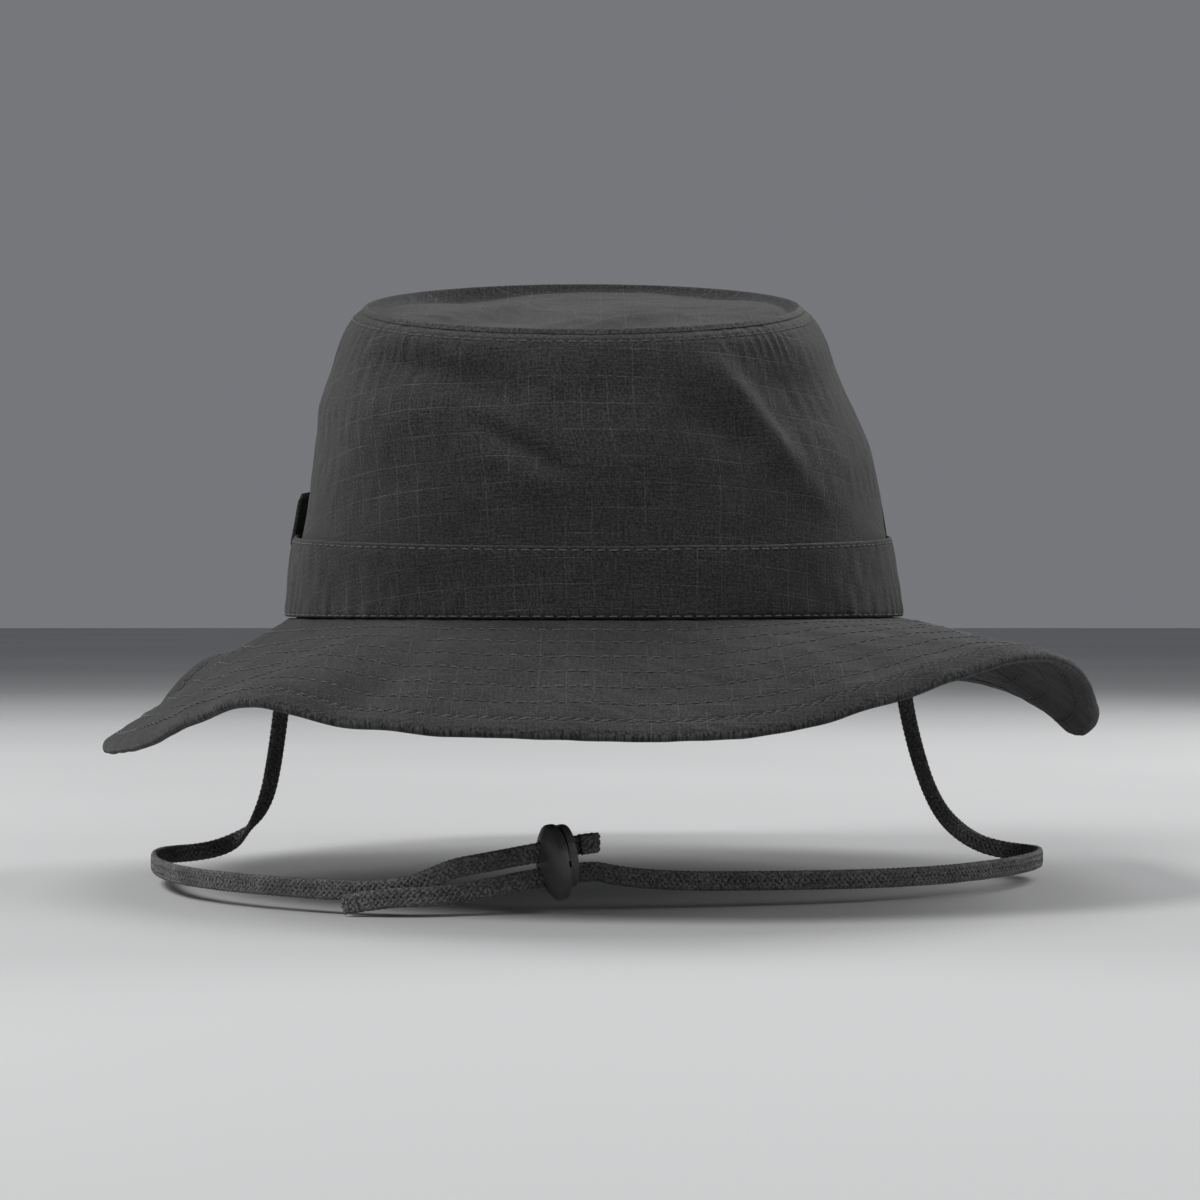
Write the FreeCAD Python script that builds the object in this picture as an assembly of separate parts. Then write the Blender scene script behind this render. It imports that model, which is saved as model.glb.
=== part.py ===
import FreeCAD, Part
import math
import os

from FreeCAD import Vector

# A soft sun hat with a wavy stitched brim, a band, a head opening and an
# adjustable chin loop.  Millimetres, +Z up, front towards -Y.  The origin is
# the centre of the head opening, in the plane where the crown meets the brim.

# ---- Overall sizes ---------------------------------------------------------
ring_half_width = 91.2        # crown and brim seam, half its width
ring_half_length = 97.0       # the same seam, half its length front to back
ring_shift = -1.6             # the seam's centre, sideways
crown_height = 95.0           # mean height of the tip seam above the brim seam
tip_slope = 0.187             # rise of the tip seam towards the back, per mm
tip_half_width = 66.8         # tip seam, half its width
tip_half_length = 70.5        # tip seam, half its length
tip_shift = -5.2              # the tip seam's centre, sideways
brim_width = 67.5             # from the seam to the edge, along the cloth
band_height = 25.8            # band, from the brim seam to its top edge

# ---- Cloth -----------------------------------------------------------------
cloth = 0.7                   # one layer of crown cloth
band_cloth = 0.8              # the band, with its turned edges
ply_gap = 0.3                 # between two layers that are sewn together
brim_cloth = 0.7              # upper or under cloth of the brim
brim_core = 0.7               # stiffener between the two brim cloths
core_margin = 2.0             # stiffener's inset from both edges of the brim
wall_lift = 0.35              # crown wall's edge above the brim cloth
seam_gap = 0.1                # between panels that meet at a side seam
sweatband_height = 30.0
sweatband_cloth = 1.1
sweatband_drop = 0.6          # sweatband's lower edge below the brim seam
tape_cloth = 0.5
tape_width = 9.0
tape_margin = 1.9             # tapes end this far short of a seam
label_width = 22.0
label_height = 14.0
label_cloth = 0.3
loop_width = 14.0             # side loop, round the hat
loop_height = 12.5            # side loop, above the band's top edge
loop_tuck = 6.0               # side loop's lower end, below the band's top edge
loop_cloth = 1.2
left_loop_angle = 172         # middle of each side loop, in degrees from +X
right_loop_angle = 14

# ---- Chin loop and slider --------------------------------------------------
braid_width = 5.5             # the flat braid that the chin loop is made of
cord_diameter = 3.6           # round tube with about the same section area
cord_pitch = 6.9              # between the two strands in the slider
hole_clearance = 0.3          # all round a strand in its hole
anchor_width = 9.0
anchor_thickness = 1.6
anchor_height = 6.4
anchor_drop = 1.9             # top of the anchor tab below the brim seam
anchor_back = 4.0             # anchors, behind the middle of the seam
anchor_out = 0.3              # the tab's outer face beyond the seam
cord_swing_gap = 1.9          # under the tab, so that the cord can turn
slider_diameter = 20.8
slider_rim = 2.8              # thickness of the slider's shell at its rim
slider_dome = 3.8             # how far the shell's face bulges
slider_fillet = 1.2
recess_depth = 0.8            # shallow recess in the back of the shell
recess_wall = 1.2             # rim round the recess
notch_width = 1.8             # notch in that rim, facing front
plate_width = 15.6            # slider's back plate
plate_height = 17.2
plate_thickness = 2.4
plate_lift = 1.2              # the plate's middle above the shell's
plate_corner = 7.2            # corner radius of the plate
plate_fillet = 1.1
plate_gap = 0.5               # between the shell and the plate
stud_radius = 0.9             # studs that join the plate to the shell
stud_length = 1.4             # how deep they sit in the shell
stud_offset = 4.6             # from the middle, to each side
stud_clearance = 0.02

# Crown wall: (share of the height, share of the inset from the brim seam to
# the tip seam, and sideways shift from the brim seam's centre in mm).
wall_shape = [
    (0.00, 0.000, 0.0),
    (0.12, 0.060, -0.3),
    (0.23, 0.108, -0.7),
    (0.31, 0.165, -0.6),
    (0.42, 0.232, -0.7),
    (0.54, 0.314, -1.0),
    (0.62, 0.388, -1.8),
    (0.70, 0.475, -3.2),
    (0.80, 0.624, -3.8),
    (0.90, 0.752, -3.8),
    (0.96, 0.876, -3.6),
    (1.00, 1.000, tip_shift - ring_shift),
]

# Brim edge: (angle round the hat in degrees from +X, drop below the seam in
# mm, and share of the drop that is left to the outer half as a curl).
brim_edge = [
    (-180, 35.9, 0.02),
    (-160, 36.4, 0.08),
    (-145, 33.7, 0.20),
    (-135, 26.8, 0.20),
    (-125, 21.0, 0.20),
    (-115, 25.4, 0.15),
    (-100, 27.9, 0.15),
    (-76, 28.2, 0.15),
    (-62, 20.6, 0.30),
    (-48, 10.9, 0.45),
    (-36, 10.3, 0.55),
    (-22, 23.0, 0.80),
    (-8, 31.0, 0.75),
    (3, 34.4, 0.60),
    (16, 29.5, 0.40),
    (35, 20.1, 0.30),
    (60, 17.5, 0.25),
    (92, 22.5, 0.20),
    (122, 16.5, 0.20),
    (143, 13.5, 0.15),
    (150, 20.5, 0.12),
    (157, 28.5, 0.10),
    (169, 33.6, 0.05),
]

# Chin loop: the left strand runs from its anchor to the slider's upper hole,
# the right strand from its anchor to the lower hole and on to its sewn end.
slider_centre = Vector(-10.5, -105.0, -64.1)
slide_direction = Vector(0.943, 0.295, 0.157)
slide_travel = 20.0
slide_spare = 4.0             # straight strand left over at the end of the travel
strand_end = 4.0              # strands bend this far behind the slider

left_route = [
    (-96.4, 7.0, -19.0),
    (-97.8, 8.4, -30.0),
    (-99.6, 10.4, -42.0),
    (-102.0, 13.0, -53.5),
    (-106.4, 16.8, -62.0),
    (-112.0, 21.3, -67.4),
    (-118.4, 23.3, -70.3),
    (-125.3, 22.2, -71.5),
    (-130.9, 18.0, -71.6),
    (-133.9, 11.4, -71.6),
    (-134.7, 2.9, -71.6),
    (-134.0, -11.0, -71.6),
    (-129.4, -34.5, -71.6),
    (-120.0, -61.0, -71.6),
    (-103.5, -83.5, -71.6),
    (-88.0, -98.0, -71.5),
    (-72.3, -109.0, -71.6),
    (-56.0, -114.6, -70.2),
]
right_route = [
    (92.2, 5.6, -19.0),
    (94.2, 7.6, -30.0),
    (97.6, 11.4, -42.0),
    (101.4, 15.8, -52.0),
    (106.2, 20.6, -60.0),
    (112.4, 25.6, -65.8),
    (118.9, 28.6, -69.5),
    (125.8, 28.0, -71.2),
    (131.4, 24.0, -71.6),
    (134.3, 17.7, -71.6),
    (134.8, 9.5, -71.6),
    (132.4, -3.5, -71.6),
    (125.6, -21.5, -71.6),
    (114.6, -39.5, -71.6),
    (97.6, -60.5, -71.6),
    (77.0, -75.5, -71.4),
    (49.0, -86.5, -71.0),
    (21.0, -95.5, -70.4),
    (5.0, -101.0, -68.6),
]
right_tail = [
    (-53.0, -115.2, -74.0),
    (-69.0, -113.4, -75.3),
]

# Number of stations used to draw the smooth cloth surfaces.
ring_stations = 37
wall_stations = 24            # over the crown's height
brim_stations = 8


# ---- Smooth curves through listed values -----------------------------------
def smooth(rows, column, at, period=None):
    """Value of one column at a place between the rows, with smooth slopes."""
    places = [row[0] for row in rows]
    values = [row[column] for row in rows]
    if period:
        at = (at - places[0]) % period + places[0]
        places = [places[-1] - period] + places + [places[0] + period, places[1] + period]
        values = [values[-1]] + values + [values[0], values[1]]
    index = 0
    while index < len(places) - 2 and at > places[index + 1]:
        index += 1

    def slope(i):
        before = max(i - 1, 0)
        after = min(i + 1, len(places) - 1)
        return (values[after] - values[before]) / (places[after] - places[before])

    span = places[index + 1] - places[index]
    u = (at - places[index]) / span
    rise = values[index + 1] - values[index]
    start = slope(index) * span
    end = slope(index + 1) * span
    return values[index] + u * start + u * u * (3 * rise - 2 * start - end) + u ** 3 * (start + end - 2 * rise)


# ---- The hat's surfaces ----------------------------------------------------
def tip_height(y):
    """Height of the tip seam's plane at a distance from the middle."""
    return crown_height + tip_slope * y


def wall_place(angle, share):
    """Place on the crown wall at an angle and a share of its height."""
    inset = smooth(wall_shape, 1, share)
    shift = ring_shift + smooth(wall_shape, 2, share)
    x = shift + (ring_half_width - inset * (ring_half_width - tip_half_width)) * math.cos(angle)
    y = (ring_half_length - inset * (ring_half_length - tip_half_length)) * math.sin(angle)
    return Vector(x, y, share * tip_height(y))


def ring_normal(angle):
    """Outward direction of the brim seam, level."""
    out = Vector(math.cos(angle) / ring_half_width, math.sin(angle) / ring_half_length, 0)
    return out.normalize()


def brim_place(angle, share):
    """Place in the middle of the brim's thickness, from seam (0) to edge (1)."""
    degrees = math.degrees(angle)
    drop = smooth(brim_edge, 1, degrees, 360)
    curl = smooth(brim_edge, 2, degrees, 360)
    reach = math.sqrt(brim_width ** 2 - drop ** 2 * (1 + curl ** 2 / 3))
    start = wall_place(angle, 0)
    fall = drop * ((1 - curl) * share + curl * share * share)
    return start + ring_normal(angle) * (reach * share) - Vector(0, 0, fall)


def offset(place, angle, share, distance):
    """The same place, moved off the surface to its outer or upper side, which never faces down."""
    step = 0.002
    along = place(angle + step, share) - place(angle - step, share)
    up = place(angle, share + step) - place(angle, share - step)
    normal = along.cross(up).normalize()
    if normal.z < 0:
        normal = -normal
    return place(angle, share) + normal * distance


def cloth_solid(place, angles, shares, inner, outer):
    """Closed sheet between two distances off a surface."""
    sides = []
    for distance in (inner, outer):
        grid = [[offset(place, a, s, distance) for s in shares] for a in angles]
        surface = Part.BSplineSurface()
        surface.interpolate(grid)
        sides.append(surface)
    faces = [side.toShape() for side in sides]
    last_u = sides[0].bounds()[1]
    last_v = sides[0].bounds()[3]
    borders = [("uIso", 0.0), ("uIso", last_u), ("vIso", 0.0), ("vIso", last_v)]
    for method, at in borders:
        edges = [getattr(side, method)(at).toShape() for side in sides]
        faces.append(Part.makeRuledSurface(edges[0], edges[1]))
    shell = Part.makeShell(faces)
    shell.sewShape()
    solid = Part.makeSolid(shell)
    if solid.Volume < 0:
        solid.reverse()
    return solid


def spread(first, last, count):
    """Evenly spaced values, with both ends."""
    return [first + (last - first) * i / (count - 1) for i in range(count)]


def wall_shares(low, high):
    """Rows on the crown wall, close enough that layers sewn together keep the same shape."""
    return spread(low, high, max(4, math.ceil((high - low) * wall_stations) + 1))


def half_angles(front, gap, place, share):
    """Angles of the front or back half, short of the side seams by a gap."""
    radius = place(0, share).Length
    margin = gap / 2 / radius
    start = -math.pi if front else 0.0
    return spread(start + margin, start + math.pi - margin, ring_stations)


def wrap_angles():
    """Angles all the way round, from one side of the strip's seam at the right to the other."""
    margin = seam_gap / 2 / ring_half_length
    return spread(margin, 2 * math.pi - margin, 2 * ring_stations - 1)


def export(shape, node):
    """Write one node's STEP file."""
    if not shape.isValid():
        raise ValueError(node + " is not a valid solid")
    shape.exportStep("parts/" + node + ".step")
    print(node, "volume", round(shape.Volume, 1), "mm3")


# ---- Crown -----------------------------------------------------------------
wall_foot = (brim_core / 2 + ply_gap + brim_cloth + wall_lift) / crown_height
band_top = band_height / crown_height


def make_crown():
    """Two side panels, the tip that closes them, and the band round them."""
    for name, front in (("front", True), ("back", False)):
        angles = half_angles(front, seam_gap, wall_place, 0)
        panel = cloth_solid(wall_place, angles, wall_shares(wall_foot, 1.0), 0, cloth)
        export(panel, "crown_panel_" + name)
        band_inner = cloth + ply_gap
        shares = wall_shares(wall_foot, band_top)
        band = cloth_solid(wall_place, angles, shares, band_inner, band_inner + band_cloth)
        export(band, "band_" + name)
    tilt = math.degrees(math.atan(tip_slope))
    half_length = (tip_half_length - ply_gap) / math.cos(math.radians(tilt))
    outline = Part.Ellipse(Vector(0, 0, 0), half_length, tip_half_width - ply_gap)
    tip = Part.Face(Part.Wire(outline.toShape())).extrude(Vector(0, 0, -cloth))
    tip.rotate(Vector(0, 0, 0), Vector(0, 0, 1), 90)
    tip.rotate(Vector(0, 0, 0), Vector(1, 0, 0), tilt)
    tip.translate(Vector(tip_shift, 0, crown_height))
    export(tip, "crown_tip")


def make_side_loops():
    """A cloth loop at each side, tucked under the band's top edge line."""
    inner = cloth + ply_gap + band_cloth + ply_gap
    low = (band_height - loop_tuck) / crown_height
    high = (band_height + loop_height) / crown_height
    half = loop_width / 2 / ring_half_length
    for name, degrees in (("left", left_loop_angle), ("right", right_loop_angle)):
        middle = math.radians(degrees)
        angles = spread(middle - half, middle + half, 5)
        loop = cloth_solid(wall_place, angles, wall_shares(low, high), inner, inner + loop_cloth)
        export(loop, "side_loop_" + name)


# ---- Brim ------------------------------------------------------------------
def make_brim():
    """Upper cloth, stiffener and under cloth."""
    core_half = brim_core / 2
    cloth_inner = core_half + ply_gap
    shares = spread(0.0, 1.0, brim_stations)
    for name, front in (("front", True), ("back", False)):
        angles = half_angles(front, seam_gap, brim_place, 0.5)
        upper = cloth_solid(brim_place, angles, shares, cloth_inner, cloth_inner + brim_cloth)
        export(upper, "brim_upper_" + name)
        under = cloth_solid(brim_place, angles, shares, -cloth_inner - brim_cloth, -cloth_inner)
        export(under, "brim_under_" + name)
    margin = core_margin / brim_width
    core_shares = spread(margin, 1 - margin, brim_stations)
    export(cloth_solid(brim_place, wrap_angles(), core_shares, -core_half, core_half), "brim_stiffener")


# ---- Inside of the crown ---------------------------------------------------
tape_outer = -ply_gap
sweatband_outer = -ply_gap - tape_cloth - ply_gap


def make_lining():
    """Sweatband, seam tapes and a blank label."""
    low = -sweatband_drop / crown_height
    high = sweatband_height / crown_height
    sweatband_inner = sweatband_outer - sweatband_cloth
    sweatband = cloth_solid(wall_place, wrap_angles(), wall_shares(low, high), sweatband_inner, sweatband_outer)
    export(sweatband, "sweatband")
    tape_share = tape_width / crown_height
    margin = tape_margin / crown_height
    tip_shares = wall_shares(1 - margin - tape_share, 1 - margin)
    tip_tape = cloth_solid(wall_place, wrap_angles(), tip_shares, tape_outer - tape_cloth, tape_outer)
    export(tip_tape, "tip_seam_tape")
    top = 1 - margin - tape_share - margin
    half = tape_width / 2 / ring_half_length
    for name, middle in (("left", math.pi), ("right", 0.0)):
        angles = spread(middle - half, middle + half, 5)
        tape = cloth_solid(wall_place, angles, wall_shares(wall_foot, top), tape_outer - tape_cloth, tape_outer)
        export(tape, "side_seam_tape_" + name)
    label_outer = sweatband_inner - ply_gap
    label_half = label_width / 2 / ring_half_width
    label_low = (sweatband_height - label_height) / 2
    label_shares = wall_shares(label_low / crown_height, (label_low + label_height) / crown_height)
    label_angles = spread(math.pi / 2 - label_half, math.pi / 2 + label_half, 5)
    label = cloth_solid(wall_place, label_angles, label_shares, label_outer - label_cloth, label_outer)
    export(label, "blank_label")


# ---- Chin loop -------------------------------------------------------------
def anchor_bottom(angle):
    """Where a strand starts: under the middle of its anchor tab."""
    side = 1 if math.cos(angle) > 0 else -1
    x = ring_shift + side * (ring_half_width - anchor_thickness / 2 + anchor_out)
    return Vector(x, anchor_back, -anchor_drop - anchor_height)


def make_anchors():
    """Tape tabs sewn into the brim seam, which hold the chin loop."""
    for name, angle in (("left", math.pi), ("right", 0.0)):
        foot = anchor_bottom(angle)
        corner = foot - Vector(anchor_thickness / 2, anchor_width / 2, 0)
        tab = Part.makeBox(anchor_thickness, anchor_width, anchor_height, corner)
        export(tab, "cord_anchor_" + name)


def cord_wire(points):
    """Straight runs joined by arcs as large as the runs allow."""
    edges = []
    last = points[0]
    radii = []
    for i in range(1, len(points) - 1):
        back = points[i - 1] - points[i]
        ahead = points[i + 1] - points[i]
        turn = math.pi - back.getAngle(ahead)
        trim = 0.45 * min(back.Length, ahead.Length)
        radii.append(trim / math.tan(turn / 2))
        start = points[i] + back.normalize() * trim
        end = points[i] + ahead.normalize() * trim
        bisector = (back + ahead).normalize()
        centre_distance = radii[-1] / math.cos(turn / 2)
        middle = points[i] + bisector * (centre_distance - radii[-1])
        edges.append(Part.LineSegment(last, start).toShape())
        edges.append(Part.Arc(start, middle, end).toShape())
        last = end
    edges.append(Part.LineSegment(last, points[-1]).toShape())
    print("cord radii", [round(r, 1) for r in radii])
    return Part.Wire(edges)


def make_cord(points, node):
    """Round tube along a route."""
    path = cord_wire(points)
    section = Part.Wire(Part.Circle(points[0], points[1] - points[0], cord_diameter / 2).toShape())
    tube = path.makePipeShell([section], True, False)
    expected = math.pi * cord_diameter ** 2 / 4 * path.Length
    print(node, "length", round(path.Length, 1), "volume ratio", round(tube.Volume / expected, 4))
    export(tube, node)


def strand_in_slider(side):
    """Middle of the slider's hole: upper strand for 1, lower for -1."""
    along = Vector(slide_direction).normalize()
    across = Vector(0, 0, 1) - along * along.z
    return slider_centre + across.normalize() * (side * cord_pitch / 2)


def make_chin_loop():
    """Both strands, straight and parallel over the slider's travel."""
    along = Vector(slide_direction).normalize()
    straight = slide_travel + slider_rim + slider_dome + slide_spare
    beyond = plate_gap + plate_thickness + strand_end
    gap = Vector(0, 0, cord_swing_gap)
    upper = strand_in_slider(1)
    lower = strand_in_slider(-1)
    left = [anchor_bottom(math.pi) - gap]
    left += [Vector(*p) for p in left_route]
    left += [upper - along * straight, upper + along * beyond]
    make_cord(left, "chin_cord_left")
    right = [anchor_bottom(0) - gap]
    right += [Vector(*p) for p in right_route]
    right += [lower + along * beyond, lower - along * straight]
    right += [Vector(*p) for p in right_tail]
    make_cord(right, "chin_cord_right")


# ---- Slider ----------------------------------------------------------------
def place_on_slide(shape):
    """Stand a part made along +X on the slide line at the slider's centre."""
    along = Vector(slide_direction).normalize()
    across = (Vector(0, 0, 1) - along * along.z).normalize()
    side = across.cross(along)
    turn = FreeCAD.Rotation(along, side, across, "XYZ")
    shape.Placement = FreeCAD.Placement(slider_centre, turn)
    return shape


def cut_strands(shape, length):
    """Cut the two upright slots with round ends that the strands run through."""
    radius = cord_diameter / 2 + hole_clearance
    half_height = braid_width / 2 + hole_clearance - radius
    for side in (1, -1):
        middle = Vector(-length / 2, 0, side * cord_pitch / 2)
        slot = Part.makeBox(length, 2 * radius, 2 * half_height, middle - Vector(0, radius, half_height))
        for end in (1, -1):
            start = middle + Vector(0, 0, end * half_height)
            slot = slot.fuse(Part.makeCylinder(radius, length, start, Vector(1, 0, 0)))
        shape = shape.cut(slot)
    return shape


def slider_shell():
    """Domed round shell: a rim, a dome in front of it and a shallow recess behind."""
    x_axis = Vector(1, 0, 0)
    radius = slider_diameter / 2
    dome_radius = (radius ** 2 + slider_dome ** 2) / (2 * slider_dome)
    rim_front = Vector(-slider_rim, 0, 0)
    nose = Vector(-slider_rim - slider_dome, 0, 0)
    sag = dome_radius - math.sqrt(dome_radius ** 2 - radius ** 2 / 4)
    nose_side = Vector(nose.x + sag, radius / 2, 0)
    outline = [
        Part.Arc(nose, nose_side, rim_front + Vector(0, radius, 0)).toShape(),
        Part.LineSegment(rim_front + Vector(0, radius, 0), Vector(0, radius, 0)).toShape(),
        Part.LineSegment(Vector(0, radius, 0), Vector(0, 0, 0)).toShape(),
        Part.LineSegment(Vector(0, 0, 0), nose).toShape(),
    ]
    shell = Part.Face(Part.Wire(outline)).revolve(Vector(0, 0, 0), x_axis, 360)
    rims = [e for e in shell.Edges if abs(e.Length - math.pi * slider_diameter) < 0.01]
    shell = shell.makeFillet(slider_fillet, rims)
    recess = Part.makeCylinder(radius - recess_wall, recess_depth, Vector(-recess_depth, 0, 0), x_axis)
    notch_corner = Vector(-recess_depth, -radius, -notch_width / 2)
    notch = Part.makeBox(recess_depth, recess_wall + 1, notch_width, notch_corner)
    shell = shell.cut(recess).cut(notch)
    for side in (1, -1):
        start = Vector(-recess_depth - stud_length, side * stud_offset, 0)
        shell = shell.cut(Part.makeCylinder(stud_radius + stud_clearance, stud_length, start, x_axis))
    return shell


def slider_plate():
    """Rounded plate behind the shell, with two studs that press into it."""
    x_axis = Vector(1, 0, 0)
    corner = Vector(plate_gap, -plate_width / 2, plate_lift - plate_height / 2)
    plate = Part.makeBox(plate_thickness, plate_width, plate_height, corner)
    lengthways = [e for e in plate.Edges if abs(e.tangentAt(e.FirstParameter).x) > 0.99]
    plate = plate.makeFillet(plate_corner, lengthways)
    far_rim = [e for e in plate.Edges if abs(e.CenterOfMass.x - plate_gap - plate_thickness) < 0.01]
    plate = plate.makeFillet(plate_fillet, far_rim)
    for side in (1, -1):
        start = Vector(-recess_depth - stud_length + stud_clearance, side * stud_offset, 0)
        length = plate_gap - start.x + plate_thickness / 2
        plate = plate.fuse(Part.makeCylinder(stud_radius, length, start, x_axis))
    return plate.removeSplitter()


def make_slider():
    """Both halves of the slider, with the strands' slots through them."""
    bore_length = 4 * slider_diameter
    export(place_on_slide(cut_strands(slider_shell(), bore_length)), "slider_shell")
    export(place_on_slide(cut_strands(slider_plate(), bore_length)), "slider_plate")


os.makedirs("parts", exist_ok=True)
make_crown()
make_side_loops()
make_brim()
make_lining()
make_anchors()
make_chin_loop()
make_slider()
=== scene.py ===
import math

import bpy
import numpy as np
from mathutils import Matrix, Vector


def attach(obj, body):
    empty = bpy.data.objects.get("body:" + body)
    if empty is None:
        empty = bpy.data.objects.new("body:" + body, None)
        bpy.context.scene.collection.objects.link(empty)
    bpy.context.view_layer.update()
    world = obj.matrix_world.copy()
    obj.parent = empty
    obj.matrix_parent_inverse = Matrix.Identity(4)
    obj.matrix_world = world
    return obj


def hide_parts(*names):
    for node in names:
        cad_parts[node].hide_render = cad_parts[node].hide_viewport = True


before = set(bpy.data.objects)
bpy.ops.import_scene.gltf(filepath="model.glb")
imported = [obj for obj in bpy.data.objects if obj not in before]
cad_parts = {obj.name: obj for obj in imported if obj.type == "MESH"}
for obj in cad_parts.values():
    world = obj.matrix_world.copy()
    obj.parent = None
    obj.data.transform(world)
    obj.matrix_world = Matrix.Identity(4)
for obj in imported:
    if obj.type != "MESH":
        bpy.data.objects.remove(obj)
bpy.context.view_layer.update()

MM = 0.001
HAT = "hat"
LOOP = "chin_loop"
FRONT = -math.pi / 2
BACK = math.pi / 2


# ---- Sizes of the hat, in millimetres --------------------------------------
RING_HALF_WIDTH = 91.2
RING_HALF_LENGTH = 97.0
RING_SHIFT = -1.6
CROWN_HEIGHT = 95.0
TIP_SLOPE = 0.187
TIP_HALF_WIDTH = 66.8
TIP_HALF_LENGTH = 70.5
TIP_SHIFT = -5.2
BRIM_WIDTH = 67.5
BAND_HEIGHT = 25.8
CLOTH = 0.7
PLY_GAP = 0.3
BAND_INNER = CLOTH + PLY_GAP
BAND_CLOTH = 0.8
BRIM_HALF = 1.35              # from the middle of the brim to its outer face
SWEATBAND_HEIGHT = 30.0
SWEATBAND_DROP = 0.6
SWEATBAND_CLOTH = 1.1
TAPE_CLOTH = 0.5
TAPE_WIDTH = 9.0
TAPE_MARGIN = 1.9
LABEL_WIDTH = 22.0
LABEL_HEIGHT = 14.0
LABEL_CLOTH = 0.3
LOOP_WIDTH = 14.0
LOOP_HEIGHT = 12.5
LOOP_TUCK = 6.0
LOOP_CLOTH = 1.2
LOOP_ANGLES = {"left": 172, "right": 14}
ANCHOR_WIDTH = 9.0
ANCHOR_HEIGHT = 6.4
ANCHOR_DROP = 1.9
ANCHOR_BACK = 4.0
ANCHOR_IN = 0.5               # the tab's middle, inside the seam
ANCHOR_HALF = 1.7             # half the tab's thickness
FELT_HALF = 0.2               # from the middle of the stiffener to its face
CORE_MARGIN = 2.0             # of the stiffener, inside the brim's edge and seam

# Crown wall, up from the seam: share of the height, share of the inset, sideways shift.
WALL_SHAPE = [
    (0.00, 0.000, 0.0),
    (0.12, 0.060, -0.3),
    (0.23, 0.108, -0.7),
    (0.31, 0.165, -0.6),
    (0.42, 0.232, -0.7),
    (0.54, 0.314, -1.0),
    (0.62, 0.388, -1.8),
    (0.70, 0.475, -3.2),
    (0.80, 0.624, -3.8),
    (0.90, 0.752, -3.8),
    (0.96, 0.876, -3.6),
    (1.00, 1.000, TIP_SHIFT - RING_SHIFT),
]

# Brim edge: angle in degrees from +X, drop below the seam, share left to the outer half.
BRIM_EDGE = [
    (-180, 35.9, 0.02),
    (-160, 36.4, 0.08),
    (-145, 33.7, 0.20),
    (-135, 26.8, 0.20),
    (-125, 21.0, 0.20),
    (-115, 25.4, 0.15),
    (-100, 27.9, 0.15),
    (-76, 28.2, 0.15),
    (-62, 20.6, 0.30),
    (-48, 10.9, 0.45),
    (-36, 10.3, 0.55),
    (-22, 23.0, 0.80),
    (-8, 31.0, 0.75),
    (3, 34.4, 0.60),
    (16, 29.5, 0.40),
    (35, 20.1, 0.30),
    (60, 17.5, 0.25),
    (92, 22.5, 0.20),
    (122, 16.5, 0.20),
    (143, 13.5, 0.15),
    (150, 20.5, 0.12),
    (157, 28.5, 0.10),
    (169, 33.6, 0.05),
]

# Dents of the crown's front and back: start and end in x and z, width, depth. A negative depth is a ridge.
FRONT_DENTS = [
    ((-59, 77), (-24, 65), 6.0, 3.0),
    ((-33, 56), (-9, 42), 2.6, 2.4),
    ((-37, 50), (-15, 37), 4.0, -1.5),
    ((32, 72), (54, 44), 4.6, -2.6),
    ((22, 60), (44, 50), 6.5, 2.3),
    ((57, 40), (66, 30), 4.0, -0.8),
]
BACK_DENTS = [
    ((10, 82), (36, 60), 7.0, 1.9),
    ((-44, 66), (-18, 48), 6.0, 1.6),
]
# Dents of the tip, in x and y.
TIP_DENTS = [
    ((-38, -40), (-20, 30), 4.0, -2.0),
    ((-4, -54), (26, -14), 4.5, -2.2),
    ((-47, -40), (-32, 14), 5.0, 1.9),
    ((-14, -50), (12, -4), 5.0, 1.6),
]

# Rows of stitching on the brim, in millimetres in from its edge.
HEM_ROWS = [6.1, 7.0]
BRIM_ROWS = [15.5, 24.5, 33.5, 42.5, 51.5, 60.0]
TIP_STITCH = 2.8              # below the tip seam
BAND_TOP_STITCH = 1.5         # below the band's top edge
BAND_FOOT_STITCH = 2.2        # above the brim seam

# Chin loop, as control points in millimetres.
BRAID_WIDTH = 5.5
BRAID_THICKNESS = 2.0
SLIDER_CENTRE = Vector((-10.5, -105.0, -64.1))
SLIDE = Vector((0.943, 0.295, 0.157)).normalized()
SLIDE_UP = (Vector((0, 0, 1)) - SLIDE * SLIDE.z).normalized()
SLIDE_FRONT = SLIDE.cross(SLIDE_UP)
STRAIGHT = 30.6               # of each strand, before the slider's middle
BEYOND = 6.9                  # of each strand, behind the slider's middle
STRAND_PITCH = 6.9
UPPER_HOLE = SLIDER_CENTRE + SLIDE_UP * STRAND_PITCH / 2
LOWER_HOLE = SLIDER_CENTRE - SLIDE_UP * STRAND_PITCH / 2
LEFT_ANCHOR = RING_SHIFT - RING_HALF_WIDTH + ANCHOR_IN
RIGHT_ANCHOR = RING_SHIFT + RING_HALF_WIDTH - ANCHOR_IN
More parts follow.
